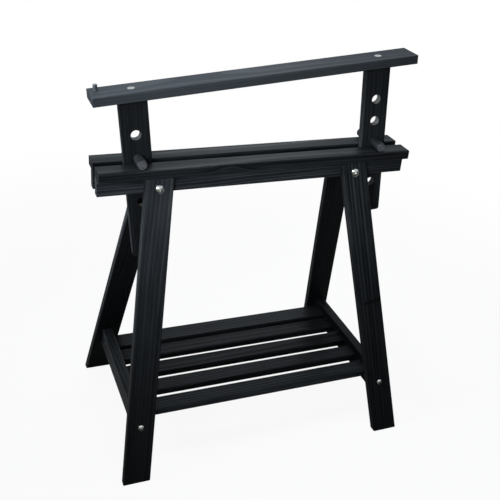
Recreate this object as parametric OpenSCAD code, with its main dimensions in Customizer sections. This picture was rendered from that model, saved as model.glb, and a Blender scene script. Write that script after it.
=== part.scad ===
// Wooden trestle with a height-adjustable, tilting top bar and a slatted shelf.
// Two rails, each a top board on a web, leave a slot between them. The posts of
// the top bar drop through the slot and hang from pegs that lie across the rails.
// Four splayed legs are notched under the rails and tied in pairs by crossbars.
//
// +Z is up, +X runs along the rails, -Y is the front. The origin is on the floor
// in the middle of the four feet.

/* [Rails] */
// Length of the rails
rail_len = 700; // [640:5:1000]
// Height of the rail tops above the floor
rail_top = 664; // [560:1:800]
// Width of each top board
board_w = 41.5; // [34:0.5:70]
// Thickness of each top board
board_t = 20; // [14:0.5:30]
// Thickness of each web
web_t = 20; // [16:0.5:28]
// Height of each web
web_h = 39; // [34:1:70]
// Length of each spacer block between the webs
spacer_l = 60; // [50:1:90]
// Distance from the middle of the rails to the middle of each spacer block
spacer_x = 120; // [60:1:130]

/* [Legs] */
// Width of each leg
leg_w = 60; // [40:0.5:80]
// Thickness of each leg
leg_t = 18; // [15:0.5:30]
// Distance from the end of the rail to the middle of a leg's top
leg_inset = 129; // [60:1:150]
// Lean of the legs along the rails, in degrees
leg_lean = 8; // [0:0.5:12]
// Splay of the legs across the rails, in degrees
leg_splay = 16.3; // [13:0.1:22]
// Wood that the notch leaves at the top of each leg
leg_neck = 5; // [4:0.5:9]

/* [Shelf] */
// Height of the crossbars' top edge above the floor
crossbar_top = 148; // [110:1:230]
// Height of each crossbar
crossbar_h = 57; // [45:1:80]
// Thickness of each crossbar
crossbar_t = 23; // [18:0.5:30]
// Width of the four front slats
slat_w = 42.5; // [25:0.5:46]
// Width of the back slat
back_slat_w = 49.5; // [25:0.5:52]
// Thickness of the slats
slat_t = 16; // [10:0.5:22]
// Depth of the slats' top faces below the crossbars' top edge
slat_drop = 15; // [0:1:20]
// Room left between the outermost slats and the ends of the crossbars
shelf_in = 16; // [4:1:24]
// Depth of the housings that hold the slat ends
housing = 5; // [2:0.5:6]

/* [Top bar] */
// Length of the top bar
bar_len = 700; // [640:5:900]
// Width of the top bar
bar_w = 61; // [40:1:120]
// Thickness of the top bar
bar_t = 19; // [14:0.5:30]
// Distance that the top bar stands off the middle of the rails
bar_shift = -7; // [-30:1:30]
// Distance between the middles of the two posts
post_gap = 538; // [500:1:560]
// Width of each post
post_w = 58.5; // [40:0.5:70]
// Thickness of each post
post_t = 16; // [12:0.5:24]
// Wood left below the last hole's centre
post_tail = 77; // [60:1:140]
// Depth of the first hole's centre below the top of the bar
first_hole = 95; // [70:0.5:130]
// Distance between the hole centres
hole_pitch = 49.6; // [36:0.1:60]
// Number of holes in each post
holes = 5; // [5:1:6]
// Number of the left post's hole that its peg is in, counted from the bar
left_hole = 2; // [1:1:5]
// Number of the right post's hole that its peg is in, counted from the bar
right_hole = 3; // [1:1:5]

/* [Pegs] */
// Diameter of the height pegs
peg_d = 20; // [12:0.5:24]
// Length of the height pegs
peg_len = 100; // [90:1:160]
// Distance that the height pegs are pushed towards the back
peg_shift = 3; // [-10:0.5:10]
// Diameter of the stop peg
stop_d = 9; // [6:0.5:12]
// Height of the stop peg above the bar
stop_h = 14; // [5:0.5:30]
// Depth of the stop peg's hole
stop_depth = 10; // [6:0.5:12]
// Distance from the left end of the bar to the stop peg
stop_inset = 14; // [10:0.5:30]
// Distance that the stop peg stands behind the bar's middle
stop_back = 9; // [-10:0.5:15]

/* [Hardware] */
// Diameter of the leg bolts
leg_bolt_d = 6; // [5:0.5:6.5]
// Diameter of the leg bolts' heads
leg_head_d = 17.5; // [13:0.5:18]
// Height of the leg bolts' heads
leg_head_h = 5; // [3:0.5:6]
// Depth of the leg bolts below the top boards
leg_bolt_drop = 27; // [22:0.5:27]
// Distance that the leg bolts stop short of the slot
leg_bolt_short = 1; // [0.5:0.5:4]
// Outer diameter of the insert nuts
insert_d = 10; // [9:0.5:12]
// Length of the insert nuts
insert_l = 12; // [8:0.5:14]
// Diameter of the crossbar bolts
tie_bolt_d = 5; // [4:0.5:6]
// Diameter of the crossbar bolts' heads
tie_head_d = 12.5; // [10:0.5:16]
// Height of the crossbar bolts' heads
tie_head_h = 4; // [3:0.5:5]
// Depth of the crossbar bolts below the crossbars' top edge
tie_bolt_drop = 25; // [18:0.5:32]
// Diameter of the barrel nuts
barrel_d = 8; // [7.5:0.5:12]
// Metal past the bolt at the inner end of a barrel nut
barrel_wall = 1; // [0.5:0.1:1.2]
// Depth of the barrel nuts below the face of the crossbar
barrel_sunk = 0.5; // [0:0.1:2]
// Width of the screwdriver slot in the barrel nuts
barrel_slot = 1.2; // [0.8:0.1:2]
// Distance from a crossbar's end to its barrel nut
barrel_in = 33; // [15:0.5:40]
// Diameter of the bar screws
bar_screw_d = 6; // [4:0.5:8]
// Diameter of the bar screws' heads
bar_head_d = 14.5; // [12:0.5:18]
// Wood left between a bar screw's tip and the first hole
bar_screw_clear = 10; // [5:1:30]
// Diameter of the rail screws
rail_screw_d = 4; // [3:0.5:6]
// Diameter of the rail screws' heads
rail_head_d = 8; // [7:0.5:11]
// Distance from the end of a rail to its first screw
rail_screw_in = 20; // [12:1:40]
// Depth of the rail screws' heads below the webs' bottom edge
rail_screw_sunk = 2; // [0.5:0.5:4]
// Depth that the rail screws reach into the top boards
rail_screw_grip = 11; // [6:0.5:12]
// Depth of the hexagon sockets
hex_depth = 3; // [1.5:0.5:3.5]
// Width of a hexagon socket as a share of the shank
hex_share = 0.8; // [0.5:0.05:0.9]
// Height of the rim under a bolt head's dome
head_rim = 1.2; // [0.5:0.1:2]
// Diameter of the hidden dowels
dowel_d = 8; // [6:0.5:10]
// Depth of the bar dowels in the bar
dowel_bar_in = 11; // [6:0.5:12]
// Depth of the bar dowels in the posts
dowel_post_in = 30; // [20:1:36]
// Depth of the spacer dowels in each web
dowel_web_in = 12; // [6:0.5:13]
// Distance between the two dowels of a pair
dowel_gap = 34; // [28:0.5:36]

/* [Fits] */
// Play between a post and each wall of the slot
slot_play = 1.6; // [0.5:0.1:4]
// Play between a peg and its hole, all round
peg_play = 0.5; // [0.3:0.05:2]
// Gap under a piece that rests on another and lifts off
seat_gap = 0.3; // [0.1:0.05:1]
// Play between a bolt and the hole it passes through, all round
bolt_play = 0.25; // [0.1:0.05:0.6]
// Play between a fastener and what grips it, all round
grip_play = 0.05; // [0.02:0.01:0.1]
// Play between a bolt head and its seat, all round
seat_play = 0.5; // [0.2:0.1:1]

/* [Edges] */
// Rounding of the rails, slats and crossbars
board_round = 2.5; // [0.5:0.5:4]
// Rounding of the legs
leg_round = 3; // [0.5:0.5:5]
// Rounding of the bar and posts
bar_round = 1.5; // [0.5:0.5:3]
// Rounding of the posts' lower corners
post_corner = 6; // [1:0.5:15]
// Chamfer at the ends of pegs and dowels
end_chamfer = 1.5; // [0.5:0.5:2.5]

/* [Hidden] */
$fn = 48;

// Small overlap that lets a cut run clean through a face
cut = 1;
stain = [0.19, 0.20, 0.22];
steel = [0.80, 0.80, 0.77];
raw_wood = [0.72, 0.58, 0.40];

under_board = rail_top - board_t;
web_bottom = under_board - web_h;
slot_w = post_t + 2 * slot_play;
web_face = slot_w / 2 + web_t;

// Middle of a leg, its outer face and its inner face at height z, in the +X +Y corner
leg_flat_t = leg_t / cos(leg_splay);
function leg_x(z) = rail_len / 2 - leg_inset + (under_board - z) * tan(leg_lean);
function leg_face(z) = web_face + leg_neck + (under_board - z) * tan(leg_splay);
function leg_back(z) = leg_face(z) - leg_flat_t;

// Lean within a leg's own broad face, and the leg's length along it
leg_turn = atan(tan(leg_lean) * cos(leg_splay));
leg_l = under_board / cos(leg_splay) / cos(leg_turn);

// A bolt head's seat is as deep as it takes to be cut round the whole head
leg_bolt_z = under_board - leg_bolt_drop;
leg_seat = leg_face(leg_bolt_z + leg_head_d / 2 + seat_play);
tie_bolt_z = crossbar_top - tie_bolt_drop;
tie_seat = leg_face(tie_bolt_z + tie_head_d / 2 + seat_play);

crossbar_x = leg_x(tie_bolt_z);
crossbar_low = crossbar_top - crossbar_h;
barrel_y = leg_back(tie_bolt_z) - barrel_in;
barrel_l = (crossbar_t + tie_bolt_d) / 2 + barrel_wall - barrel_sunk;
tie_bolt_tip = barrel_y - barrel_d;

slat_count = 5;
slat_top = crossbar_top - slat_drop;
shelf_d = 2 * (leg_back(slat_top) - shelf_in);
slat_len = 2 * (crossbar_x - crossbar_t / 2 + housing);
slat_pitch = (shelf_d - slat_w) / (slat_count - 1);
function slat_width(i) = i == slat_count ? back_slat_w : slat_w;
function slat_y(i) =
    i == slat_count ? (shelf_d - back_slat_w) / 2 : (slat_w - shelf_d) / 2 + (i - 1) * slat_pitch;

peg_z = rail_top + seat_gap + peg_d / 2;
function hole_depth(i) = first_hole + (i - 1) * hole_pitch;
post_len = hole_depth(holes) - bar_t + post_tail;
tilt = atan((hole_depth(right_hole) - hole_depth(left_hole)) / post_gap);
bar_z = peg_z + hole_depth(right_hole) * cos(tilt) - post_gap / 2 * sin(tilt);

// Where the peg of the hole at depth d lies under the bar, on side -1 (left) or 1
function peg_x(side, d) = bar_shift + side * post_gap / 2 * cos(tilt) + d * sin(tilt);

// Rail screws: one near each end, and one between each spacer and the legs
spacer_end = spacer_x + spacer_l / 2;
leg_inner_edge = rail_len / 2 - leg_inset - leg_w / 2;
rail_screw_x = [(spacer_end + leg_inner_edge) / 2, rail_len / 2 - rail_screw_in];
rail_screw_l = web_h - rail_screw_sunk + rail_screw_grip;
bar_screw_l = first_hole - peg_d / 2 - peg_play - bar_screw_clear;

// Longer than any piece, for cuts that run off its end
far = 2000;

// --- Shapes that repeat -------------------------------------------------------

// Rounded rectangle that stands on the X axis
module rounded(w, t, r) {
    translate([-w / 2 + r, 0]) square([w - 2 * r, t]);
    translate([-w / 2, r]) square([w, t - 2 * r]);
    for (x = [r - w / 2, w / 2 - r], y = [r, t - r])
        translate([x, y]) circle(r);
}

// Board along +X from the origin, centred on Y, with its long edges rounded
module board(l, w, t, r) {
    rotate([90, 0, 90]) linear_extrude(l) rounded(w, t, r);
}

// The same piece in each of the four corners, drawn for the +X +Y one
module corners() {
    for (right = [false, true], back = [false, true])
        corner(right, back) children();
}

module corner(right, back) {
    mirror([right ? 0 : 1, 0, 0]) mirror([0, back ? 0 : 1, 0]) children();
}

module front_and_back() {
    for (back = [false, true])
        corner(true, back) children();
}

// Cylinder along +Y from the point p
module bore_y(p, d, l) {
    translate(p) rotate([-90, 0, 0]) cylinder(h = l, d = d);
}

// Round rod along +Z with chamfered ends, centred on the origin
module rod(d, l) {
    rotate_extrude() polygon([
        [0, -l / 2],
        [d / 2 - end_chamfer, -l / 2],
        [d / 2, end_chamfer - l / 2],
        [d / 2, l / 2 - end_chamfer],
        [d / 2 - end_chamfer, l / 2],
        [0, l / 2]
    ]);
}

// Domed bolt with a hexagon socket, head up, the head's seat at z = 0
module domed_bolt(head_d, head_h, shank_d, shank_l) {
    cap_h = head_h - head_rim;
    dome_r = (head_d * head_d / 4 + cap_h * cap_h) / (2 * cap_h);
    difference() {
        union() {
            intersection() {
                cylinder(h = head_h, d = head_d);
                translate([0, 0, head_h - dome_r]) sphere(dome_r);
            }
            translate([0, 0, -shank_l]) cylinder(h = shank_l + head_rim, d = shank_d);
        }
        translate([0, 0, head_h - hex_depth])
            cylinder(h = hex_depth + cut, d = shank_d * hex_share, $fn = 6);
    }
}

// Countersunk screw, head up, its flat top at z = 0
module flat_screw(head_d, shank_d, l) {
    cone_h = (head_d - shank_d) / 2;
    difference() {
        union() {
            translate([0, 0, -cone_h]) cylinder(h = cone_h, d1 = shank_d, d2 = head_d);
            translate([0, 0, -l]) cylinder(h = l - cone_h, d = shank_d);
        }
        translate([0, 0, -hex_depth]) cylinder(h = hex_depth + cut, d = shank_d * hex_share, $fn = 6);
    }
}

// The hole for such a screw: its countersink, open by the depth above, and a gripping bore
module flat_screw_hole(head_d, shank_d, l, above) {
    cone_h = (head_d - shank_d) / 2;
    grip_d = shank_d + 2 * grip_play;
    rim_d = head_d + 2 * grip_play;
    translate([0, 0, -cone_h]) cylinder(h = cone_h, d1 = grip_d, d2 = rim_d);
    cylinder(h = above, d = rim_d);
    translate([0, 0, -l - grip_play]) cylinder(h = l, d = grip_d);
}

// --- Rails --------------------------------------------------------------------

module top_board(back) {
    color(stain) corner(true, back) difference() {
        translate([-rail_len / 2, (slot_w + board_w) / 2, under_board])
            board(rail_len, board_w, board_t, board_round);
        rail_screw_places() rail_screw_hole();
    }
}

module web(back) {
    color(stain) corner(true, back) difference() {
        translate([-rail_len / 2, (slot_w + web_t) / 2, web_bottom])
            board(rail_len, web_t, web_h, board_round);
        rail_screw_places() rail_screw_hole();
        spacer_dowel_places() rotate([-90, 0, 0]) dowel_hole(slot_w + 2 * dowel_web_in);
        for (side = [-1, 1]) translate([side * leg_x(leg_bolt_z), 0, leg_bolt_z]) {
            bore_y([0, slot_w / 2 - cut, 0], insert_d + 2 * grip_play, insert_l + cut);
            bore_y([0, slot_w / 2, 0], leg_bolt_d + 2 * bolt_play, web_t + cut);
        }
    }
}

// Places of the screws that hold one board down, on the underside of the +Y web
module rail_screw_places() {
    for (x = rail_screw_x, side = [-1, 1])
        translate([side * x, (slot_w + web_t) / 2, web_bottom + rail_screw_sunk])
            rotate([180, 0, 0]) children();
}

module rail_screw_hole() {
    flat_screw_hole(rail_head_d, rail_screw_d, rail_screw_l, rail_screw_sunk + cut);
}

module rail_screws() {
    color(steel) front_and_back() rail_screw_places()
        flat_screw(rail_head_d, rail_screw_d, rail_screw_l);
}

// --- Spacers between the webs ---------------------------------------------------

module spacer(side) {
    color(stain) difference() {
        translate([side * spacer_x - spacer_l / 2, -slot_w / 2, web_bottom])
            cube([spacer_l, slot_w, web_h]);
        spacer_dowel_places() rotate([-90, 0, 0]) dowel_hole(slot_w + 2 * dowel_web_in);
    }
}

module spacer_dowel_places() {
    for (side = [-1, 1], k = [-1, 1])
        translate([side * spacer_x + k * dowel_gap / 2, 0, web_bottom + web_h / 2]) children();
}

module dowel_hole(l) {
    cylinder(h = l + 2 * seat_gap, d = dowel_d + 2 * grip_play, center = true);
}

module spacer_dowels() {
    color(raw_wood) spacer_dowel_places()
        rotate([-90, 0, 0]) rod(dowel_d, slot_w + 2 * dowel_web_in);
}

// --- Legs -----------------------------------------------------------------------

module leg(right, back) {
    color(stain) corner(right, back) difference() {
        intersection() {
            translate([leg_x(under_board), leg_face(under_board), under_board])
                rotate([leg_splay, 0, 0]) rotate([0, -leg_turn, 0])
                    translate([0, -leg_t, -leg_l - leg_w])
                        linear_extrude(leg_l + 2 * leg_w) rounded(leg_w, leg_t, leg_round);
            cube([far, far, under_board]);
        }
        translate([0, web_face - far, web_bottom]) cube([far, far, web_h + cut]);
        bolt_seat(leg_bolt_z, leg_seat, leg_head_d, leg_bolt_d);
        bolt_seat(tie_bolt_z, tie_seat, tie_head_d, tie_bolt_d);
    }
}

// Level hole through a leg, and the round flat that a bolt head sits on
module bolt_seat(z, seat_y, head_d, shank_d) {
    bore_y([leg_x(z), 0, z], shank_d + 2 * bolt_play, seat_y + cut);
    bore_y([leg_x(z), seat_y, z], head_d + 2 * seat_play, leg_t);
}

module leg_bolts() {
    l = leg_seat - slot_w / 2 - leg_bolt_short;
    color(steel) corners() translate([leg_x(leg_bolt_z), leg_seat, leg_bolt_z])
        rotate([-90, 0, 0]) domed_bolt(leg_head_d, leg_head_h, leg_bolt_d, l);
}

// Threaded sleeves sunk flush into the slot side of the webs
module insert_nuts() {
    color(steel) corners() translate([leg_x(leg_bolt_z), slot_w / 2, leg_bolt_z]) difference() {
        bore_y([0, 0, 0], insert_d, insert_l);
        bore_y([0, -cut, 0], leg_bolt_d + 2 * grip_play, insert_l + 2 * cut);
    }
}

// --- Shelf ----------------------------------------------------------------------

module crossbar(right) {
    color(stain) corner(right, true) difference() {
        intersection() {
            translate([crossbar_x, -far / 2, crossbar_low]) rotate([0, 0, 90])
                board(far, crossbar_t, crossbar_h, board_round);
            translate([crossbar_x - crossbar_t, 0, 0]) rotate([90, 0, 90])
                linear_extrude(2 * crossbar_t) crossbar_outline();
        }
        for (i = [1 : slat_count])
            translate([crossbar_x - crossbar_t, slat_y(i) - slat_width(i) / 2, slat_top - slat_t])
                cube([crossbar_t / 2 + housing, slat_width(i), slat_t]);
        for (back = [false, true]) corner(true, back) {
            bore_y([crossbar_x, tie_bolt_tip - seat_gap, tie_bolt_z],
                tie_bolt_d + 2 * bolt_play, barrel_in + 2 * barrel_d);
            barrel_place(barrel_sunk + barrel_l + seat_gap) barrel_hole();
        }
    }
}

// Both ends follow the inner faces of the legs
module crossbar_outline() {
    polygon([
        [-leg_back(crossbar_low), crossbar_low],
        [leg_back(crossbar_low), crossbar_low],
        [leg_back(crossbar_top), crossbar_top],
        [-leg_back(crossbar_top), crossbar_top]
    ]);
}

// The axis of a barrel nut, at this depth from the outer face of the crossbar
module barrel_place(depth) {
    translate([crossbar_x + crossbar_t / 2 - depth, barrel_y, tie_bolt_z])
        rotate([0, 90, 0]) children();
}

module barrel_hole() {
    cylinder(h = crossbar_t, d = barrel_d + 2 * grip_play);
}

module crossbar_bolts() {
    l = tie_seat - tie_bolt_tip;
    color(steel) corners() translate([crossbar_x, tie_seat, tie_bolt_z])
        rotate([-90, 0, 0]) domed_bolt(tie_head_d, tie_head_h, tie_bolt_d, l);
}

// Cross dowels with a threaded hole and a screwdriver slot in the outer end
module barrel_nuts() {
    color(steel) corners() difference() {
        barrel_place(barrel_sunk + barrel_l) cylinder(h = barrel_l, d = barrel_d);
        bore_y([crossbar_x, barrel_y - barrel_d, tie_bolt_z],
            tie_bolt_d + 2 * grip_play, 2 * barrel_d);
        barrel_place(barrel_sunk + cut) translate([-barrel_d, -barrel_slot / 2, 0])
            cube([2 * barrel_d, barrel_slot, 2 * cut]);
    }
}

module slat(i) {
    color(stain) translate([-slat_len / 2, slat_y(i), slat_top - slat_t])
        board(slat_len, slat_width(i), slat_t, board_round);
}

// --- Top bar and posts ------------------------------------------------------------

// Puts a piece drawn under the middle of the bar's top face where the top stands
module on_top() {
    translate([bar_shift, 0, bar_z]) rotate([0, -tilt, 0]) children();
}

module top_bar() {
    color(stain) on_top() difference() {
        translate([-bar_len / 2, 0, -bar_t]) board(bar_len, bar_w, bar_t, bar_round);
        post_places() bar_screw_hole();
        post_places() bar_dowel_places() dowel_hole(dowel_bar_in + dowel_post_in);
        stop_place() translate([0, 0, -stop_depth])
            cylinder(h = stop_depth + cut, d = stop_d + 2 * seat_gap);
    }
}

module post_places() {
    for (side = [-1, 1]) translate([side * post_gap / 2, 0, 0]) children();
}

module post(side) {
    color(stain) on_top() translate([side * post_gap / 2, 0, 0]) difference() {
        intersection() {
            translate([0, -post_t / 2, -bar_t - post_len])
                linear_extrude(post_len) rounded(post_w, post_t, bar_round);
            rotate([90, 0, 0]) linear_extrude(2 * post_t, center = true) post_outline();
        }
        for (i = [1 : holes])
            bore_y([0, -post_t, -hole_depth(i)], peg_d + 2 * peg_play, 2 * post_t);
        bar_screw_hole();
        bar_dowel_places() dowel_hole(dowel_bar_in + dowel_post_in);
    }
}

// Front view of a post: square at the bar, with rounded lower corners
module post_outline() {
    low = -bar_t - post_len;
    inner_w = post_w - 2 * post_corner;
    translate([-post_w / 2, low + post_corner]) square([post_w, post_len - post_corner]);
    translate([-inner_w / 2, low]) square([inner_w, post_len]);
    for (x = [-inner_w / 2, inner_w / 2])
        translate([x, low + post_corner]) circle(post_corner);
}

module bar_screw_hole() {
    flat_screw_hole(bar_head_d, bar_screw_d, bar_screw_l, cut);
}

module bar_screws() {
    color(steel) on_top() post_places()
        flat_screw(bar_head_d, bar_screw_d, bar_screw_l);
}

// Middles of the dowels beside a bar screw
module bar_dowel_places() {
    for (k = [-1, 1])
        translate([k * dowel_gap / 2, 0, -bar_t + (dowel_bar_in - dowel_post_in) / 2]) children();
}

module bar_dowels() {
    color(raw_wood) on_top() post_places() bar_dowel_places()
        rod(dowel_d, dowel_bar_in + dowel_post_in);
}

// --- Pegs -------------------------------------------------------------------------

module height_peg(x) {
    color(stain) translate([x, peg_shift, peg_z]) rotate([90, 0, 0]) rod(peg_d, peg_len);
}

module left_peg() {
    height_peg(peg_x(-1, hole_depth(left_hole)));
}

module right_peg() {
    height_peg(peg_x(1, hole_depth(right_hole)));
}

module stop_place() {
    translate([stop_inset - bar_len / 2, stop_back, 0]) children();
}

// Round peg with a domed top, loose in a blind hole of the bar
module stop_peg() {
    l = stop_depth - seat_gap + stop_h;
    color(stain) on_top() stop_place() translate([0, 0, seat_gap - stop_depth]) intersection() {
        cylinder(h = l, d = stop_d);
        translate([0, 0, l - stop_d]) sphere(stop_d);
    }
}

top_board(false);  // front_board
top_board(true);  // back_board
web(false);  // front_web
web(true);  // back_web
spacer(-1);  // left_spacer
spacer(1);  // right_spacer
spacer_dowels();
rail_screws();
leg(false, false);  // front_left_leg
leg(true, false);  // front_right_leg
leg(false, true);  // back_left_leg
leg(true, true);  // back_right_leg
leg_bolts();
insert_nuts();
crossbar(false);  // left_crossbar
crossbar(true);  // right_crossbar
crossbar_bolts();
barrel_nuts();
slat(1);  // slat_1
slat(2);  // slat_2
slat(3);  // slat_3
slat(4);  // slat_4
slat(5);  // slat_5
top_bar();
post(-1);  // left_post
post(1);  // right_post
bar_screws();
bar_dowels();
left_peg();
right_peg();
stop_peg();
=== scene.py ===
"""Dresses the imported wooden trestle: stained softwood, beech pegs, zinc plating, a plain studio."""

import functools
import operator
import random

import bmesh
import bpy
import numpy as np
from bpy.props import FloatProperty, FloatVectorProperty, PointerProperty
from mathutils import Matrix, Vector


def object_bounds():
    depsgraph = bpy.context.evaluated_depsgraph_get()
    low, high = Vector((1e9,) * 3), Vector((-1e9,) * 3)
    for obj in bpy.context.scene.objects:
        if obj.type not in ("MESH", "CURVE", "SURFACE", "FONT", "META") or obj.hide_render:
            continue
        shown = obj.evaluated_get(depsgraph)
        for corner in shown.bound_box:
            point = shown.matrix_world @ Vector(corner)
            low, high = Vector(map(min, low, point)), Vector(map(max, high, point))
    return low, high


bl_info = {
    "name": "Trestle Finisher",
    "version": (1, 0, 0),
    "blender": (4, 5, 0),
    "location": "3D View > Sidebar > Trestle",
    "description": "Stains, furnishes and lights a wooden trestle with a tilting top bar",
    "category": "Object",
}

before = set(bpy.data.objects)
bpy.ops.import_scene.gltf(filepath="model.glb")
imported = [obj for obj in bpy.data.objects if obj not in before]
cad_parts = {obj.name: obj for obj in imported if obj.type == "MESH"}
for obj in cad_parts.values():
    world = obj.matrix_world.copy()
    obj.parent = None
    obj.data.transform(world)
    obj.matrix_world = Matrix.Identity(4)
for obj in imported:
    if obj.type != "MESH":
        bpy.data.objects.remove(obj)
CAD_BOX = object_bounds()
MM = 0.001

# How often each pattern changes in a metre: along the piece, across it and through it
RING_BENDS = (2.2, 9, 9)
FIBRES = (14, 900, 900)
STREAKS = (2.0, 150, 150)
BANDS = (6.0, 60, 60)
PEG_FIBRES = (30, 1100, 1100)
DOWEL_FIBRES = (40, 900, 900)
FLECKS = (160, 1400, 1400)
SAW_MARKS = (1, 60, 900)

# The same for patterns that change as fast in every direction
CLOUDS = 11.0
PEG_CLOUDS = 40.0
ZINC_CLOUDS = 260.0
ZINC_GRIT = 2600.0
FLOOR_SPECKS = 3.0

# How far the edges are rounded over, and how finely that is worked out
BOARD_ROUNDING = 1.6 * MM
PEG_ROUNDING = 0.8 * MM
ZINC_ROUNDING = 0.4 * MM
ROUNDING_SAMPLES = 6


# --- Settings -----------------------------------------------------------------


class WoodFinish(bpy.types.PropertyGroup):
    """Dark stain on brushed softwood."""

    stain: FloatVectorProperty(
        name="Stain", description="Colour of the stain where the soft wood drinks it in",
        subtype="COLOR", min=0, max=1, default=(0.0047, 0.0056, 0.0070),
    )
    thin_stain: FloatVectorProperty(
        name="Thin stain", description="Colour where the hard rings keep the stain thin",
        subtype="COLOR", min=0, max=1, default=(0.0270, 0.0302, 0.0328),
    )
    knot_stain: FloatVectorProperty(
        name="Knots", description="Colour of the knots and of open checks",
        subtype="COLOR", min=0, max=1, default=(0.0020, 0.0020, 0.0021),
    )
    worn: FloatVectorProperty(
        name="Worn edge", description="Colour of the arrises where the stain is rubbed thin",
        subtype="COLOR", min=0, max=1, default=(0.052, 0.055, 0.060),
    )
    bored: FloatVectorProperty(
        name="Bored wood", subtype="COLOR", min=0, max=1, default=(0.20, 0.205, 0.195),
        description="Colour inside the drilled holes, which the stain hardly reaches",
    )
    wear: FloatProperty(
        name="Wear", description="How much of the arrises is rubbed thin",
        subtype="FACTOR", min=0, max=1, default=0.55,
    )
    thinness: FloatProperty(
        name="Thinness", description="Share of the thin stain on plain wood",
        subtype="FACTOR", min=0, max=1, default=0.32,
    )
    rings: FloatProperty(
        name="Rings", description="How strongly the growth rings show in the stain",
        subtype="FACTOR", min=0, max=2, default=0.9,
    )
    streaks: FloatProperty(
        name="Streaks", description="How strongly the fine streaks show in the stain",
        subtype="FACTOR", min=0, max=2, default=0.8,
    )
    bands: FloatProperty(
        name="Bands", description="How strongly the broad bands show in the stain",
        subtype="FACTOR", min=0, max=2, default=1.2,
    )
    clouds: FloatProperty(
        name="Clouds", description="How unevenly the stain was brushed on",
        subtype="FACTOR", min=0, max=2, default=0.4,
    )
    fibres: FloatProperty(
        name="Fibres", description="How strongly the fibres show in the stain",
        subtype="FACTOR", min=0, max=2, default=0.25,
    )
    ring_gap: FloatProperty(
        name="Ring gap", description="Distance between the growth rings",
        subtype="DISTANCE", unit="LENGTH", min=0.001, max=0.02, default=0.0075,
    )
    ring_ridge: FloatProperty(
        name="Ring ridges", description="Height of the hard rings above the brushed soft wood",
        subtype="DISTANCE", unit="LENGTH", min=0, max=0.001, precision=5, default=0.00022,
    )
    fibre_ridge: FloatProperty(
        name="Fibre ridges", description="Height of the fibres that stand up under the stain",
        subtype="DISTANCE", unit="LENGTH", min=0, max=0.001, precision=5, default=0.00007,
    )
    roughness: FloatProperty(
        name="Roughness", description="Roughness of the stained soft wood",
        subtype="FACTOR", min=0, max=1, default=0.52,
    )
    gloss: FloatProperty(
        name="Gloss", description="Strength of the shine on the stain",
        subtype="FACTOR", min=0, max=1, default=0.060,
    )
    peg_gloss: FloatProperty(
        name="Peg gloss", description="Strength of the shine on the turned pegs",
        subtype="FACTOR", min=0, max=1, default=0.22,
    )


class FastenerFinish(bpy.types.PropertyGroup):
    """Zinc on the bolts, screws and nuts."""

    zinc: FloatVectorProperty(
        name="Zinc", description="Colour of the plating", subtype="COLOR",
        min=0, max=1, default=(0.50, 0.495, 0.46),
    )
    dull_zinc: FloatVectorProperty(
        name="Dull zinc", description="Colour of the plating where it has gone dull",
        subtype="COLOR", min=0, max=1, default=(0.17, 0.165, 0.15),
    )
    polish: FloatProperty(
        name="Roughness", description="Roughness of the clean plating", subtype="FACTOR",
        min=0, max=1, default=0.18,
    )


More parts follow.
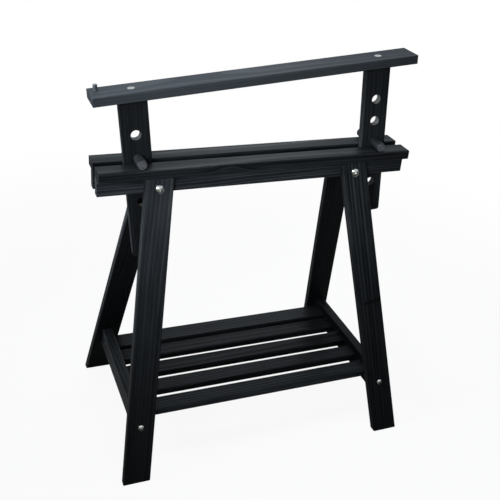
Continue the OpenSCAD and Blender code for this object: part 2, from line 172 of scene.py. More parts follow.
class Studio(bpy.types.PropertyGroup):
    """Camera, lamps, floor and backdrop."""

    turn: FloatProperty(
        name="Turn", subtype="ANGLE", unit="ROTATION", default=np.radians(23.42),
        description="Direction of the camera's look, from straight back towards the right",
    )
    drop: FloatProperty(
        name="Drop", description="How far the camera looks down",
        subtype="ANGLE", unit="ROTATION", default=np.radians(29.07),
    )
    roll: FloatProperty(
        name="Roll", description="Tilt of the camera about its own look",
        subtype="ANGLE", unit="ROTATION", default=np.radians(5.09),
    )
    lens: FloatProperty(
        name="Lens", description="Focal length on a 36 mm sensor, in millimetres",
        subtype="DISTANCE_CAMERA", unit="CAMERA", min=10, max=200, default=56.26,
    )
    distance: FloatProperty(
        name="Distance", description="Distance from the camera to the middle of the trestle",
        subtype="DISTANCE", unit="LENGTH", min=0.5, max=10, default=1.7858,
    )
    aim: FloatVectorProperty(
        name="Aim", description="Where the camera looks, from the middle of the trestle",
        subtype="TRANSLATION", unit="LENGTH", default=(0.0042, -0.0073, -0.0094),
    )
    overhead: FloatProperty(
        name="Overhead lamp", description="Power of the lamp above the trestle", unit="POWER",
        subtype="POWER", min=0, max=1000, default=16.0,
    )
    back: FloatProperty(
        name="Back lamp", description="Power of the lamp behind the trestle", unit="POWER",
        subtype="POWER", min=0, max=1000, default=4.5,
    )
    side: FloatProperty(
        name="Side lamp", description="Power of the lamp at the left", unit="POWER",
        subtype="POWER", min=0, max=1000, default=7.0,
    )
    front: FloatProperty(
        name="Front lamp", description="Power of the broad lamp far in front", unit="POWER",
        subtype="POWER", min=0, max=1000, default=6.0,
    )
    corner: FloatProperty(
        name="Corner lamp", description="Power of the narrow lamp in front, at the left",
        unit="POWER", subtype="POWER", min=0, max=1000, default=2.2,
    )
    low: FloatProperty(
        name="Low lamp", description="Power of the low lamp in front, at the left", unit="POWER",
        subtype="POWER", min=0, max=1000, default=1.3,
    )
    rear: FloatProperty(
        name="Rear lamp", description="Power of the broad low lamp far behind", unit="POWER",
        subtype="POWER", min=0, max=1000, default=12.0,
    )
    lamp_colour: FloatVectorProperty(
        name="Lamp colour", description="Colour of the lamps", subtype="COLOR",
        min=0, max=1, default=(0.90, 0.95, 1.0),
    )
    floor: FloatVectorProperty(
        name="Floor", description="Colour of the floor", subtype="COLOR",
        min=0, max=1, default=(0.50, 0.48, 0.44),
    )
    floor_specks: FloatVectorProperty(
        name="Floor specks", description="Colour of the faint clouds on the floor",
        subtype="COLOR", min=0, max=1, default=(0.4, 0.4, 0.4),
    )
    seen_floor: FloatVectorProperty(
        name="Seen floor", description="Colour of the floor that the camera sees under the lamps",
        subtype="COLOR", min=0, max=1, default=(0.9, 0.9, 0.9),
    )
    sheen: FloatVectorProperty(
        name="Sheen", description="Colour of the room as shiny faces mirror it", subtype="COLOR",
        min=0, max=1, default=(0.82, 0.93, 1.0),
    )
    backdrop: FloatVectorProperty(
        name="Backdrop", description="Colour of the backdrop", subtype="COLOR",
        min=0, max=1, default=(1.0, 1.0, 1.0),
    )


class Trestle(bpy.types.PropertyGroup):
    """Everything that a user would change."""

    wood: PointerProperty(type=WoodFinish)
    fasteners: PointerProperty(type=FastenerFinish)
    studio: PointerProperty(type=Studio)


# --- Shader maths -------------------------------------------------------------


class Value:
    """A number or vector that changes over a surface; sums on it add the nodes that work it out."""

    def __init__(self, finish, socket):
        self.finish = finish
        self.socket = socket

    def maths(self, operation, *terms):
        """The Math node of that operation on those terms."""
        node = self.finish.add("ShaderNodeMath", {"operation": operation}, dict(enumerate(terms)))
        return Value(self.finish, node.outputs[0])

    def __add__(self, other):
        return self.maths("ADD", self, other)

    def __radd__(self, other):
        return self.maths("ADD", other, self)

    def __sub__(self, other):
        return self.maths("SUBTRACT", self, other)

    def __rsub__(self, other):
        return self.maths("SUBTRACT", other, self)

    def __mul__(self, other):
        return self.maths("MULTIPLY", self, other)

    def __rmul__(self, other):
        return self.maths("MULTIPLY", other, self)

    def __truediv__(self, other):
        return self.maths("DIVIDE", self, other)

    def __rtruediv__(self, other):
        return self.maths("DIVIDE", other, self)

    def __pow__(self, other):
        return self.maths("POWER", self, other)

    def __rpow__(self, other):
        return self.maths("POWER", other, self)

    def __abs__(self):
        return self.maths("ABSOLUTE", self)


class Finish:
    """The nodes of one material, or of the room's light."""

    def __init__(self, owner):
        owner.use_nodes = True
        self.owner = owner
        self.tree = owner.node_tree
        self.tree.nodes.clear()

    def add(self, kind, settings=None, sockets=None):
        """A node of that type: its settings first, then the values or links of its sockets."""
        node = self.tree.nodes.new(kind)
        for name, value in (settings or {}).items():
            if name == "stops":
                node.color_ramp.interpolation = "EASE"
                ramp = node.color_ramp.elements
                while len(ramp) < len(value):
                    ramp.new(0.5)
                for stop, (place, shade) in zip(ramp, value):
                    stop.position = place
                    stop.color = (shade, shade, shade, 1)
            else:
                setattr(node, name, value)
        for name, value in (sockets or {}).items():
            socket = node.inputs[name]
            if isinstance(value, Value):
                self.tree.links.new(value.socket, socket)
            elif isinstance(value, bpy.types.NodeSocket):
                self.tree.links.new(value, socket)
            elif isinstance(value, (int, float)):
                socket.default_value = value
            else:
                value = tuple(value)
                wide = len(socket.default_value)
                socket.default_value = value + (1,) * (wide - len(value))
        return node

    def value(self, kind, settings=None, sockets=None, output=0):
        """What such a node gives, ready for sums."""
        return Value(self, self.add(kind, settings, sockets).outputs[output])

    def times(self, vector, factors):
        """A vector or colour times another, or times one number."""
        return self.value(
            "ShaderNodeVectorMath", {"operation": "MULTIPLY"}, {0: vector, 1: factors}
        )

    def plus(self, vector, shift):
        """A vector moved by another."""
        return self.value("ShaderNodeVectorMath", {"operation": "ADD"}, {0: vector, 1: shift})

    def dot(self, a, b):
        """The dot product: 1 where two directions are the same and 0 where they are square."""
        return self.value(
            "ShaderNodeVectorMath", {"operation": "DOT_PRODUCT"}, {0: a, 1: b}, output="Value"
        )

    def noise(self, vector, scale, detail=2.0, roughness=0.5):
        """Smooth noise from 0 to 1, mostly near a half."""
        return self.value(
            "ShaderNodeTexNoise", {},
            {"Vector": vector, "Scale": scale, "Detail": detail, "Roughness": roughness},
        )

    def rise(self, value, low, high):
        """0 at low, 1 at high, a smooth rise between them, and level beyond."""
        return self.value(
            "ShaderNodeMapRange", {"interpolation_type": "SMOOTHSTEP"},
            {"Value": value, "From Min": low, "From Max": high},
        )

    def blend(self, share, a, b):
        """Colour a where share is 0 and colour b where it is 1."""
        return self.value(
            "ShaderNodeMix", {"data_type": "RGBA"}, {0: share, 6: a, 7: b}, output=2
        )

    def rounded(self, radius):
        """The normal that a face has with its edges rounded over."""
        return self.value("ShaderNodeBevel", {"samples": ROUNDING_SAMPLES}, {"Radius": radius})

    def edges(self, rounded, low, high):
        """1 on the edges, where the rounded-over normal leaves the face's own, and 0 elsewhere."""
        face = self.add("ShaderNodeNewGeometry")
        return self.rise(1 - self.dot(rounded, face.outputs["Normal"]), low, high)

    def ridges(self, height, normal=None):
        """The normal that a height in metres gives, over another normal or the face's own."""
        under = {"Normal": normal} if normal else {}
        return self.value(
            "ShaderNodeBump", {}, {"Height": height, "Distance": 1.0, "Strength": 1.0, **under}
        )

    def surface(self, sockets):
        """Ends the material in its shader."""
        shader = self.add("ShaderNodeBsdfPrincipled", {}, sockets)
        self.add("ShaderNodeOutputMaterial", {}, {0: shader.outputs[0]})


# --- Wood ---------------------------------------------------------------------


class Board:
    """Where a piece of wood lies: the grain runs the way that the fewest of its faces look.

    Its size is along the grain, across it and through the board; luck draws what differs from
    board to board, the same each time.
    """

    def __init__(self, name):
        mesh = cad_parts[name].data
        facing = {}
        for face in mesh.polygons:
            way = tuple(round(v, 3) for v in face.normal)
            facing[way] = facing.get(way, 0) + face.area
        spread = sum(area * area * np.outer(way, way) for way, area in facing.items())
        axes = np.linalg.eigh(spread)[1]
        for k in range(3):
            axes[:, k] *= np.sign(axes[np.abs(axes[:, k]).argmax(), k])
        if np.linalg.det(axes) < 0:
            axes[:, 2] *= -1
        corners = np.array([v.co for v in mesh.vertices]) @ axes
        low, high = corners.min(0), corners.max(0)
        self.name = name
        self.size = [float(v) for v in high - low]
        self.centre = Vector(axes @ ((low + high) / 2))
        self.turn = Matrix(axes.tolist()).to_euler()
        self.along = Vector(axes[:, 0])
        self.across = Vector(axes[:, 1])
        self.luck = random.Random(name)


class BoardFinish(Finish):
    """A finish that lies in its board's own directions: along the grain, across it and through."""

    def __init__(self, name, board):
        super().__init__(bpy.data.materials.new(name))
        self.board = board
        self.where = self.add("ShaderNodeTexCoord")
        self.place = self.value(
            "ShaderNodeMapping", {"vector_type": "TEXTURE"},
            {
                "Vector": self.where.outputs["Object"],
                "Location": board.centre, "Rotation": board.turn,
            },
        )
        self.spot = self.place

    def shuffle(self):
        """Moves the patterns to a spot of the board's own, so that no two boards look alike."""
        self.spot = self.plus(self.place, [self.board.luck.uniform(-50, 50) for _ in range(3)])

    def pattern(self, changes, detail=2.0, roughness=0.5):
        """Noise that is drawn out along the board."""
        return self.noise(self.times(self.spot, changes), 1.0, detail, roughness)

    def facing(self, way, low, high):
        """1 on the faces that look that way or straight back, and 0 on the others."""
        return self.rise(abs(self.dot(self.where.outputs["Normal"], way)), low, high)


# Where the tree's heart lies from the middle of a board, in millimetres: across its face, through
# its thickness, and how far it wanders over a metre of board
HEARTS = {
    "front_web": (74, 22, 14),
    "back_web": (-80, 30, 20),
    "front_board": (15, -120, 12),
    "back_board": (-20, -110, 14),
    "top_bar": (22, -130, 10),
    "front_left_leg": (70, 40, 16),
    "front_right_leg": (-62, 30, 12),
    "back_left_leg": (75, -40, 15),
    "back_right_leg": (-70, -30, 14),
    "left_post": (66, 40, 12),
    "right_post": (-70, 36, 10),
}
# The other boards get theirs by luck, within these, and to either side
HEART_RANGES = ((15, 70), (30, 90), (6, 20))

# A ring from spring to winter: place in the year, and how hard and thinly stained the wood is
RING_STOPS = ((0, 0.0), (0.35, 0.12), (0.82, 1.0), (0.97, 0.75), (1.0, 0.0))
MEAN_RING = 0.35

# How far the rings wobble along the board, how often good and poor years change over, how much the
# years' widths differ, and how strong a year's ring has to be before it shows and shows fully
RING_WOBBLE = 16 * MM
YEAR_CHANGES = 0.55
YEAR_UNEVENNESS = 2.4
CLEAR_YEARS = (0.30, 0.62)

# How the stain came out on a piece, with painted light and shade: how pale, which is partly the
# stain's tone and partly painted light and shade, how much paler towards its right, upper or back
# end, which is painted light and shade, how strong the grain shows, and how much it shines
EVEN_STAINING = (1, 0, 1, 1)
STAINING_AND_PAINTED_LIGHT = {
    "back_board": (0.84, 0.0, 0.8, 0.95),
    "front_board": (0.68, 0.0, 0.8, 0.92),
    "front_web": (1.7, -0.7, 1.0, 1.0),
    "top_bar": (2.08, -0.42, 0.18, 0.3),
    "left_post": (0.85, -0.3, 0.45, 0.9),
    "right_post": (0.95, -0.4, 0.55, 0.9),
    "front_left_leg": (1.25, 0.92, 0.6, 0.95),
    "front_right_leg": (0.75, 0.4, 1.0, 0.8),
    "back_left_leg": (0.7, 0.3, 0.6, 1.0),
    "back_right_leg": (0.4, 0.0, 0.5, 0.9),
    "left_crossbar": (1.1, 0.0, 1.0, 1.0),
    "right_crossbar": (0.14, 0.0, 1.0, 0.7),
    "slat_1": (0.72, 0.0, 0.8, 0.59),
    "slat_2": (0.45, 0.0, 0.8, 0.66),
    "slat_3": (0.38, 0.0, 1.0, 0.61),
    "slat_4": (0.39, 0.0, 1.1, 0.63),
    "slat_5": (0.46, 0.0, 1.0, 0.68),
}

# Painted light and shade on a piece's narrow edges: how much paler than its faces they are drawn, as
# a share; darker below 0
PAINTED_EDGE_LIGHT = {
    "back_board": -0.3,
    "front_board": 0.1,
    "top_bar": 0.14,
    "right_post": 1.2,
    "back_left_leg": 1.3,
    "left_post": 0.3,
    "right_crossbar": 1.3,
    "slat_1": 3.0,
    "slat_2": 0.5,
    "slat_3": 0.4,
    "slat_4": 0.6,
    "slat_5": 0.9,
}

# Knots, and an open check across a leg: place along the board and across it as shares of half its
# size, length and width in millimetres, and how dark
KNOTS = {
    "front_right_leg": [(-0.007, 0.36, 9.0, 62.0, 1.0)],
    "slat_4": [(0.74, 0.1, 60.0, 30.0, 0.8)],
    "slat_3": [(0.70, -0.4, 54.0, 26.0, 0.7)],
}
# Where a knot's dark starts to fade and ends, as shares of its size, and how deep it lies
KNOT_RIM = (0.38, 0.56)
KNOT_HOLLOW = 0.4 * MM

# Dark rings on the front edge of a board: place along it as a share of half its length, how far the
# rings swerve aside there and over what length, and how far from the heart the dark one lies, in
# millimetres
DARK_RINGS = {
    "front_board": [(-0.22, -11.0, 50.0, 124.2), (0.45, 0.0, 150.0, 131.0)],
}
# How deep behind the front edge they end and are full, how far from its middle a dark ring starts
# to fade and ends, where along its length it does the same, and how dark it is
FRONT_EDGE = (7 * MM, 1 * MM)
RING_LINE = (0.8 * MM, 2.6 * MM)
RING_TAILS = (0.8, 1.7)
DARK_RING_SHARE = 0.95

# How far inside a board's ends, edges and faces the wall of a drilled hole starts, in millimetres,
# how soon it is fully pale, and how pale and how uneven it came out
HOLE_MARGINS = (9.0, 2.0, 0.6)
HOLE_RIM = 0.3 * MM
BORED_SHARE = 0.75
BORED_UNEVENNESS = 0.5

# How squarely a face has to look along the grain to start to be an end and to be one fully, the
# same across the grain for a narrow edge, and how much darker an end is
END_FACES = (0.75, 0.93)
EDGE_FACES = (0.6, 0.9)
END_SHARE = 0.12

# How far the rounding turns on an arris, how thick the stain's clouds and fibres have to be for a
# rubbed patch, how much less with full wear, and how much of the stain is rubbed off
ARRIS_TURN = (0.004, 0.10)
RUBBED_PATCHES = (0.62, 0.72)
RUBBED_MORE = 0.3
RUBBED_SHARE = 0.6

# What each adds to the roughness of stained wood, or takes off it, and how high its streaks stand
# next to its fibres
FIBRE_ROUGHNESS = 0.16
CLOUD_ROUGHNESS = 0.12
END_ROUGHNESS = 0.22
RING_SMOOTHNESS = 0.12
STREAK_RIDGES = 1.4


def overlay(marks):
    """All the marks together, or None where there are none."""
    return functools.reduce(operator.add, marks) if marks else None


def knots_on(finish, x, y):
    """Dark ovals at the board's knots."""
    long_side, short_side, _ = finish.board.size
    marks = []
    for share_x, share_y, long, wide, depth in KNOTS.get(finish.board.name, []):
        kx = (x - share_x * long_side / 2) / (long * MM)
        ky = (y - share_y * short_side / 2) / (wide * MM)
        marks.append(depth - depth * finish.rise((kx * kx + ky * ky) ** 0.5, *KNOT_RIM))
    return overlay(marks)


def dark_rings_on(finish, x, y, radius):
    """The rings' distance from the heart where they swerve, and the dark lines along them."""
    long_side, short_side, _ = finish.board.size
    lines = []
    for share_x, swerve, long, from_heart in DARK_RINGS.get(finish.board.name, []):
        off = abs(x - share_x * long_side / 2)
        front = finish.rise(y, *(depth - short_side / 2 for depth in FRONT_EDGE))
        radius = radius + swerve * MM * front * (1 - finish.rise(off, 0, long * MM))
        near = 1 - finish.rise(abs(radius - from_heart * MM), *RING_LINE)
        fading = finish.rise(off, *(share * long * MM for share in RING_TAILS))
        lines.append(front * near * (1 - fading))
    return radius, overlay(lines)


def rings_on(finish, x, y, z, gap):
    """How strong each year's ring is, how hard the wood is in it, and the dark rings."""
    luck = finish.board.luck
    side = luck.choice((-1, 1))
    drawn = [luck.uniform(*ends) for ends in HEART_RANGES]
    across, through, wander = HEARTS.get(finish.board.name, (drawn[0] * side, *drawn[1:]))
    bend = finish.pattern(RING_BENDS, 1.0) - 0.5
    dy = y - across * MM - wander * MM * x
    dz = z - through * MM
    radius = (dy * dy + dz * dz) ** 0.5 + RING_WOBBLE * bend
    radius, dark_rings = dark_rings_on(finish, x, y, radius)
    turns = radius / gap
    years = {0: YEAR_CHANGES * turns, 1: luck.uniform(0, 99)}
    season = finish.noise(finish.value("ShaderNodeCombineXYZ", {}, years), 1.0, 2.0, 0.7)
    turns = turns + YEAR_UNEVENNESS * (season - 0.5)
    year = turns.maths("FRACT", turns)
    late = finish.value("ShaderNodeValToRGB", {"stops": RING_STOPS}, {0: year})
    return season, late, dark_rings


def hole_walls(finish, places):
    """1 well inside the board, where only the walls of drilled holes lie, and 0 at its faces."""
    inside = 1
    for place, length, margin in zip(places, finish.board.size, HOLE_MARGINS):
        half = length / 2 - margin * MM
        inside = inside * finish.rise(abs(place), half, half - HOLE_RIM)
    return inside


def stained_wood(name, board, wood):
    """Brushed softwood under a dark stain, its rings round a heart that runs along the board."""
    finish = BoardFinish(name, board)
    finish.shuffle()
    parted = finish.add("ShaderNodeSeparateXYZ", {}, {0: finish.place})
    x, y, z = (Value(finish, parted.outputs[k]) for k in range(3))

    # The wood: rings and knots, and fibres, streaks and bands that are all drawn out along it
    season, late, dark_rings = rings_on(finish, x, y, z, wood.ring_gap)
    knots = knots_on(finish, x, y)
    fibre = finish.pattern(FIBRES, 2.0, 0.6)
    streak = finish.pattern(STREAKS, 3.0, 0.6)
    band = finish.pattern(BANDS)
    cloud = finish.noise(finish.spot, CLOUDS, 3.0, 0.55)
    end = finish.facing(board.along, *END_FACES)

    # The stain, thinner on the hard rings, with each piece's own tone and its painted light and shade
    pale, painted_light_drift, figure, shine = STAINING_AND_PAINTED_LIGHT.get(board.name, EVEN_STAINING)
    clear = finish.rise(season, *CLEAR_YEARS)
    grain = wood.rings * (late - MEAN_RING) * clear + wood.streaks * (streak - 0.5)
    grain = grain + wood.bands * (band - 0.5) + wood.clouds * (cloud - 0.5)
    grain = grain + wood.fibres * (fibre - 0.5)
    colour = finish.blend(wood.thinness + figure * grain, wood.stain, wood.thin_stain)
    # Painted light and shade: the whole piece drawn paler or darker, and a painted light gradient
    # along it
    colour = finish.times(colour, pale + painted_light_drift / (board.size[0] / 2) * x)
    # Painted light and shade on the narrow edges, as the light falls on each side
    if board.name in PAINTED_EDGE_LIGHT:
        edge = finish.facing(board.across, *EDGE_FACES)
        colour = finish.times(colour, 1 + PAINTED_EDGE_LIGHT[board.name] * edge)

    # Rubbed arrises, sawn ends, dark marks and the walls of the holes
    rounded = finish.rounded(BOARD_ROUNDING)
    patches = [level - RUBBED_MORE * wood.wear for level in RUBBED_PATCHES]
    rubbed = finish.edges(rounded, *ARRIS_TURN) * finish.rise(0.6 * cloud + 0.4 * fibre, *patches)
    colour = finish.blend(RUBBED_SHARE * rubbed, colour, wood.worn)
    colour = finish.blend(END_SHARE * end, colour, wood.knot_stain)
    if dark_rings:
        colour = finish.blend(DARK_RING_SHARE * dark_rings, colour, wood.knot_stain)
    if knots:
        colour = finish.blend(knots, colour, wood.knot_stain)
    bored = hole_walls(finish, (x, y, z)) * (BORED_SHARE + BORED_UNEVENNESS * (cloud - 0.5))
    colour = finish.blend(bored, colour, wood.bored)

    # Fibres and sawn ends are rougher, and the hard rings smoother and proud of the rest
    roughness = wood.roughness + FIBRE_ROUGHNESS * (fibre - 0.5) - RING_SMOOTHNESS * late
    roughness = roughness + END_ROUGHNESS * end + CLOUD_ROUGHNESS * (cloud - 0.5)
    height = figure * wood.ring_ridge * late * (1 - end)
    height = height + wood.fibre_ridge * fibre + STREAK_RIDGES * wood.fibre_ridge * streak
    if knots:
        height = height - KNOT_HOLLOW * knots
    finish.surface({
        "Base Color": colour, "Roughness": roughness,
        "Specular IOR Level": shine * wood.gloss, "Normal": finish.ridges(height, rounded),
    })
    return finish.owner


# How strongly a peg's fibres, clouds and flecks show in its stain
PEG_FIBRE_TONE = 0.5
PEG_CLOUD_TONE = 0.4
PEG_FLECK_TONE = 0.3
PEG_FLECK_RIM = (0.62, 0.72)

# Its sawn end: where it starts, how pale it is next to a worn arris, how unevenly, and how much of
# it shows; the saw marks' height is next to that of the fibres
PEG_END_FACES = (0.6, 0.9)
SAWN_TONE = 1.5
SAWN_UNEVENNESS = 4.0
SAWN_SHARE = 0.9
SAWN_RIDGES = 1.6

PEG_ROUGHNESS = 0.50
PEG_FIBRE_ROUGHNESS = 0.15
PEG_END_ROUGHNESS = 0.15


def beech(name, board, wood, pale):
    """A turned beech rod: fine straight flecks under a thinner stain, and a paler sawn end."""
    finish = BoardFinish(name, board)
    finish.shuffle()
    fibre = finish.pattern(PEG_FIBRES, 2.0, 0.6)
    fleck = finish.rise(finish.pattern(FLECKS, 1.0), *PEG_FLECK_RIM)
    cloud = finish.noise(finish.spot, PEG_CLOUDS, 2.0)
    saw = finish.pattern(SAW_MARKS, 1.0)
    end = finish.facing(board.along, *PEG_END_FACES)
    thin = pale + PEG_FIBRE_TONE * (fibre - 0.5) + PEG_CLOUD_TONE * (cloud - 0.5)
    colour = finish.blend(thin - PEG_FLECK_TONE * fleck, wood.stain, wood.worn)
    sawn = finish.times(wood.worn, SAWN_TONE + SAWN_UNEVENNESS * (saw - 0.5))
    colour = finish.blend(SAWN_SHARE * end, colour, sawn)
    roughness = PEG_ROUGHNESS + PEG_FIBRE_ROUGHNESS * (fibre - 0.5) + PEG_END_ROUGHNESS * end
    height = wood.fibre_ridge * fibre + SAWN_RIDGES * wood.fibre_ridge * end * saw
    finish.surface({
        "Base Color": colour, "Roughness": roughness, "Specular IOR Level": wood.peg_gloss,
        "Normal": finish.ridges(height, finish.rounded(PEG_ROUNDING)),
    })
    return finish.owner


# A bare dowel: its darker and paler wood, its flecks, and how rough and ridged it is
BARE_BEECH = ((0.42, 0.27, 0.15), (0.62, 0.45, 0.28))
BEECH_FLECK = (0.30, 0.17, 0.09)
DOWEL_FLECK_RIM = (0.60, 0.72)
DOWEL_FLECK_SHARE = 0.5
DOWEL_ROUGHNESS = 0.62
DOWEL_FIBRE_ROUGHNESS = 0.1
DOWEL_RIDGES = 0.06 * MM


def raw_dowel(name, board):
    """Bare beech dowel with fine flecks, hidden inside the joints."""
    finish = BoardFinish(name, board)
    fibre = finish.pattern(DOWEL_FIBRES, 3.0, 0.6)
    fleck = finish.rise(finish.pattern(FLECKS, 1.0), *DOWEL_FLECK_RIM)
    colour = finish.blend(fibre, *BARE_BEECH)
    finish.surface({
        "Base Color": finish.blend(DOWEL_FLECK_SHARE * fleck, colour, BEECH_FLECK),
        "Roughness": DOWEL_ROUGHNESS + DOWEL_FIBRE_ROUGHNESS * fibre,
        "Normal": finish.ridges(DOWEL_RIDGES * fibre),
    })
    return finish.owner


# --- Metal --------------------------------------------------------------------


# Where the rounding starts and ends a handled edge, and how much cleaner than the rest it is
ZINC_EDGE_TURN = (0.01, 0.20)
CLEAN_EDGES = 0.6

# Where the clouds turn dull and are fully dull, how much further each comes in on duller plating,
# and what dull spots and grit add to the roughness
DULL_FROM, DULL_FROM_MORE = 0.62, 0.35
DULL_TO, DULL_TO_MORE = 0.80, 0.2
DULL_SHARE = 0.7
DULL_ROUGHNESS = 0.25
GRIT_ROUGHNESS = 0.08
ZINC_GRIT_RIDGES = 0.01 * MM
ZINC_CLOUD_RIDGES = 0.03 * MM


def zinc(name, metal, dullness, mirror=1.0):
    """Zinc plating: bright, faintly clouded, and duller away from the handled edges."""
    finish = Finish(bpy.data.materials.new(name))
    where = finish.add("ShaderNodeTexCoord").outputs["Object"]
    cloud = finish.noise(where, ZINC_CLOUDS, 3.0, 0.6)
    grit = finish.noise(where, ZINC_GRIT, 2.0)
    rounded = finish.rounded(ZINC_ROUNDING)
    clean = 1 - CLEAN_EDGES * finish.edges(rounded, *ZINC_EDGE_TURN)
    dull = finish.rise(
        cloud, DULL_FROM - DULL_FROM_MORE * dullness, DULL_TO - DULL_TO_MORE * dullness
    )
    height = ZINC_GRIT_RIDGES * grit + ZINC_CLOUD_RIDGES * cloud
    finish.surface({
        "Base Color": finish.blend(DULL_SHARE * dull * clean, metal.zinc, metal.dull_zinc),
        "Roughness": metal.polish + DULL_ROUGHNESS * dull + GRIT_ROUGHNESS * (grit - 0.5),
        "Metallic": mirror, "Normal": finish.ridges(height, rounded),
    })
    return finish.owner


def coat(name, material):
    """Puts the material on a CAD piece in place of its plain one."""
    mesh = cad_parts[name].data
    mesh.materials.clear()
    mesh.materials.append(material)


def stain_pieces(wood, *names):
    """Gives each piece a stained finish of its own."""
    for name in names:
        coat(name, stained_wood("stained_" + name, Board(name), wood))


# --- Operators ----------------------------------------------------------------


class StainRails(bpy.types.Operator):
    """Stains the two top boards, the two webs and the spacers between them"""

    bl_idname = "trestle.stain_rails"
    bl_label = "Stain the rails"

    def execute(self, context):
        stain_pieces(
            context.scene.trestle.wood, "front_board", "back_board", "front_web", "back_web",
            "left_spacer", "right_spacer",
        )
        return {"FINISHED"}


class StainLegs(bpy.types.Operator):
    """Stains the four splayed legs"""

    bl_idname = "trestle.stain_legs"
    bl_label = "Stain the legs"

    def execute(self, context):
        stain_pieces(
            context.scene.trestle.wood,
            "front_left_leg", "front_right_leg", "back_left_leg", "back_right_leg",
        )
        return {"FINISHED"}


class StainShelf(bpy.types.Operator):
    """Stains the crossbars and the five slats that they hold"""

    bl_idname = "trestle.stain_shelf"
    bl_label = "Stain the shelf"

    def execute(self, context):
        stain_pieces(
            context.scene.trestle.wood, "left_crossbar", "right_crossbar",
            "slat_1", "slat_2", "slat_3", "slat_4", "slat_5",
        )
        return {"FINISHED"}


class StainTop(bpy.types.Operator):
    """Stains the top bar and its two posts"""

    bl_idname = "trestle.stain_top"
    bl_label = "Stain the top bar and posts"

    def execute(self, context):
        stain_pieces(context.scene.trestle.wood, "top_bar", "left_post", "right_post")
        return {"FINISHED"}


class StainPegs(bpy.types.Operator):
    """Stains the height pegs and the stop peg, and leaves the joint dowels bare"""

    bl_idname = "trestle.stain_pegs"
    bl_label = "Stain the pegs"

    def execute(self, context):
        wood = context.scene.trestle.wood
        for name, pale in (("left_peg", 0.1), ("right_peg", 0.05), ("stop_peg", 0.95)):
            coat(name, beech("turned_" + name, Board(name), wood, pale))
        for name in ("spacer_dowels", "bar_dowels"):
            coat(name, raw_dowel("raw_" + name, Board(name)))
        return {"FINISHED"}


class PlateFasteners(bpy.types.Operator):
    """Plates the bolts, the screws and their nuts with zinc"""

    bl_idname = "trestle.plate_fasteners"
    bl_label = "Plate the fasteners"

    def execute(self, context):
        metal = context.scene.trestle.fasteners
        bright = zinc("bright_zinc", metal, 0.15)
        for name in ("leg_bolts", "crossbar_bolts", "rail_screws"):
            coat(name, bright)
        coat("barrel_nuts", zinc("pressed_zinc", metal, 0.15, 0.3))
        coat("insert_nuts", zinc("dull_zinc", metal, 0.5))
        coat("bar_screws", zinc("weathered_zinc", metal, 1.4))
        return {"FINISHED"}


FLOOR_RADIUS = 12.0
FLOOR_SIDES = 96
FLOOR_SPECK_SHARE = 0.1

# Share of the seen floor that is white by itself; the rest is lit, so that the shadow shows, out to
# where the floor goes all white, in metres from the middle. Shiny faces mirror little of it.
FLOOR_GLOW = 0.92
FLOOR_WHITENS = (0.7, 1.9)
MIRRORED_GLOW = 0.05

# The camera's film width in millimetres, and how far it sees in metres
SENSOR_WIDTH = 36
FARTHEST_SEEN = 60


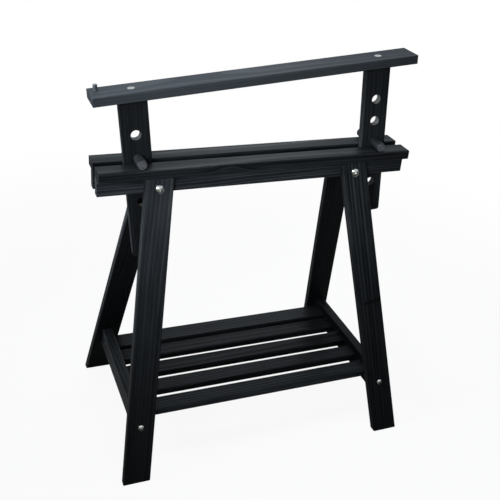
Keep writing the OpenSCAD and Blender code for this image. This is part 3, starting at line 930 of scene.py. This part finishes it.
class SetStudio(bpy.types.Operator):
    """Lays the floor, hangs the lamps and stands the camera"""

    bl_idname = "trestle.set_studio"
    bl_label = "Set up the studio"

    def execute(self, context):
        studio = context.scene.trestle.studio
        self.lay_floor(context, studio)
        self.light(context, studio)
        self.stand_camera(context, studio)
        context.scene.view_settings.view_transform = "Standard"
        return {"FINISHED"}

    def lay_floor(self, context, studio):
        """A pale round floor that keeps the trestle's shadow and is white further out."""
        mesh = bpy.data.meshes.new("studio_floor")
        work = bmesh.new()
        bmesh.ops.create_circle(
            work, cap_ends=True, segments=FLOOR_SIDES, radius=FLOOR_RADIUS
        )
        work.to_mesh(mesh)
        work.free()
        floor = bpy.data.objects.new("studio_floor", mesh)
        context.collection.objects.link(floor)
        finish = Finish(bpy.data.materials.new("pale_floor"))
        rays = finish.add("ShaderNodeLightPath").outputs
        seen = Value(finish, rays["Is Camera Ray"])
        mirrored = Value(finish, rays["Is Glossy Ray"])
        mirrored = mirrored + Value(finish, rays["Is Transmission Ray"])
        place = finish.add("ShaderNodeTexCoord").outputs["Object"]
        away = finish.rise(finish.dot(place, place) ** 0.5, *FLOOR_WHITENS)
        speck = finish.noise(place, FLOOR_SPECKS, 3.0)
        colour = finish.blend(FLOOR_SPECK_SHARE * speck, studio.floor, studio.floor_specks)
        matt = finish.add("ShaderNodeBsdfDiffuse", {}, {"Color": colour})
        pale = finish.add("ShaderNodeBsdfDiffuse", {}, {"Color": studio.seen_floor})
        glow = finish.add("ShaderNodeEmission", {}, {"Color": studio.backdrop, "Strength": 1.0})
        lit = finish.add(
            "ShaderNodeMixShader", {}, {0: seen, 1: matt.outputs[0], 2: pale.outputs[0]}
        )
        white = seen * (FLOOR_GLOW + (1 - FLOOR_GLOW) * away) + MIRRORED_GLOW * mirrored
        both = finish.add(
            "ShaderNodeMixShader", {}, {0: white, 1: lit.outputs[0], 2: glow.outputs[0]}
        )
        finish.add("ShaderNodeOutputMaterial", {}, {0: both.outputs[0]})
        mesh.materials.append(finish.owner)

    def light(self, context, studio):
        """Soft round lamps, and a room that is dark but for the camera and the mirrored rays."""
        high = Vector(CAD_BOX[1]).z
        middle = (0, 0, 0.7 * high)
        # Name, power, width in metres, spread in degrees, place, and what it is turned to
        lamps = (
            ("overhead_lamp", studio.overhead, 0.9, 180, (-0.1, 0, high + 1.05), middle),
            ("back_lamp", studio.back, 1.4, 180, (0.45, 1.3, high + 0.8), middle),
            ("side_lamp", studio.side, 0.8, 70, (-1.5, 0, high + 0.45), (0, 0, high)),
            ("front_lamp", studio.front, 1.5, 180, (0, -3.0, high + 0.65), middle),
            ("corner_lamp", studio.corner, 0.6, 45, (-0.9, -1.1, high + 0.35), (0, 0, high)),
            ("rear_lamp", studio.rear, 1.2, 180, (0.9, 2.4, 0.6 * high), (0, 0, 0.5 * high)),
            ("low_lamp", studio.low, 0.6, 180, (-1.0, -1.0, 0.65 * high), middle),
        )
        for name, power, width, spread, place, target in lamps:
            lamp = bpy.data.lights.new(name, "AREA")
            lamp.shape = "DISK"
            lamp.size = width
            lamp.energy = power
            lamp.color = studio.lamp_colour
            lamp.spread = np.radians(spread)
            holder = bpy.data.objects.new(name, lamp)
            turn = (Vector(target) - Vector(place)).to_track_quat("-Z", "Y").to_matrix().to_4x4()
            holder.matrix_world = Matrix.Translation(Vector(place)) @ turn
            context.collection.objects.link(holder)
        world = bpy.data.worlds.new("pale_room")
        context.scene.world = world
        room = Finish(world)
        rays = room.add("ShaderNodeLightPath").outputs
        seen = Value(room, rays["Is Camera Ray"])
        glossy = Value(room, rays["Is Glossy Ray"])
        through = Value(room, rays["Is Transmission Ray"])
        colour = room.blend(glossy, studio.backdrop, studio.sheen)
        dark = room.add("ShaderNodeBackground", {}, {"Color": (0, 0, 0), "Strength": 0.0})
        white = room.add("ShaderNodeBackground", {}, {"Color": colour, "Strength": 1.0})
        both = room.add(
            "ShaderNodeMixShader", {},
            {0: seen + glossy + through, 1: dark.outputs[0], 2: white.outputs[0]},
        )
        room.add("ShaderNodeOutputWorld", {}, {0: both.outputs[0]})

    def stand_camera(self, context, studio):
        """The camera, aimed from its distance at the middle of the trestle."""
        low, high = (Vector(corner) for corner in CAD_BOX)
        level = Vector((np.cos(studio.turn), -np.sin(studio.turn), 0))
        look = Vector((
            np.sin(studio.turn) * np.cos(studio.drop),
            np.cos(studio.turn) * np.cos(studio.drop),
            -np.sin(studio.drop),
        ))
        upright = level.cross(look)
        right = np.cos(studio.roll) * level + np.sin(studio.roll) * upright
        up = -np.sin(studio.roll) * level + np.cos(studio.roll) * upright
        camera = bpy.data.cameras.new("camera")
        camera.sensor_width = SENSOR_WIDTH
        camera.lens = studio.lens
        camera.clip_end = FARTHEST_SEEN
        stand = bpy.data.objects.new("camera", camera)
        turn = Matrix((right, up, -look)).transposed().to_4x4()
        eye = (low + high) / 2 + Vector(studio.aim) - studio.distance * look
        stand.matrix_world = Matrix.Translation(eye) @ turn
        context.collection.objects.link(stand)
        context.scene.camera = stand


STEPS = (StainRails, StainLegs, StainShelf, StainTop, StainPegs, PlateFasteners, SetStudio)


class TrestlePanel(bpy.types.Panel):
    """Lists the steps and what can be changed"""

    bl_idname = "VIEW3D_PT_trestle"
    bl_label = "Trestle"
    bl_space_type = "VIEW_3D"
    bl_region_type = "UI"
    bl_category = "Trestle"

    def draw(self, context):
        layout = self.layout
        trestle = context.scene.trestle
        for step in STEPS:
            layout.operator(step.bl_idname)
        for group in (trestle.wood, trestle.fasteners, trestle.studio):
            box = layout.box()
            for name in group.__annotations__:
                box.prop(group, name)


CLASSES = (WoodFinish, FastenerFinish, Studio, Trestle, *STEPS, TrestlePanel)


def register():
    for cls in CLASSES:
        bpy.utils.register_class(cls)
    bpy.types.Scene.trestle = PointerProperty(type=Trestle)


def unregister():
    del bpy.types.Scene.trestle
    for cls in reversed(CLASSES):
        bpy.utils.unregister_class(cls)


def main():
    """Finishes the whole trestle."""
    register()
    bpy.ops.trestle.stain_rails()
    bpy.ops.trestle.stain_legs()
    bpy.ops.trestle.stain_shelf()
    bpy.ops.trestle.stain_top()
    bpy.ops.trestle.stain_pegs()
    bpy.ops.trestle.plate_fasteners()
    bpy.ops.trestle.set_studio()


if __name__ == "__main__":
    main()
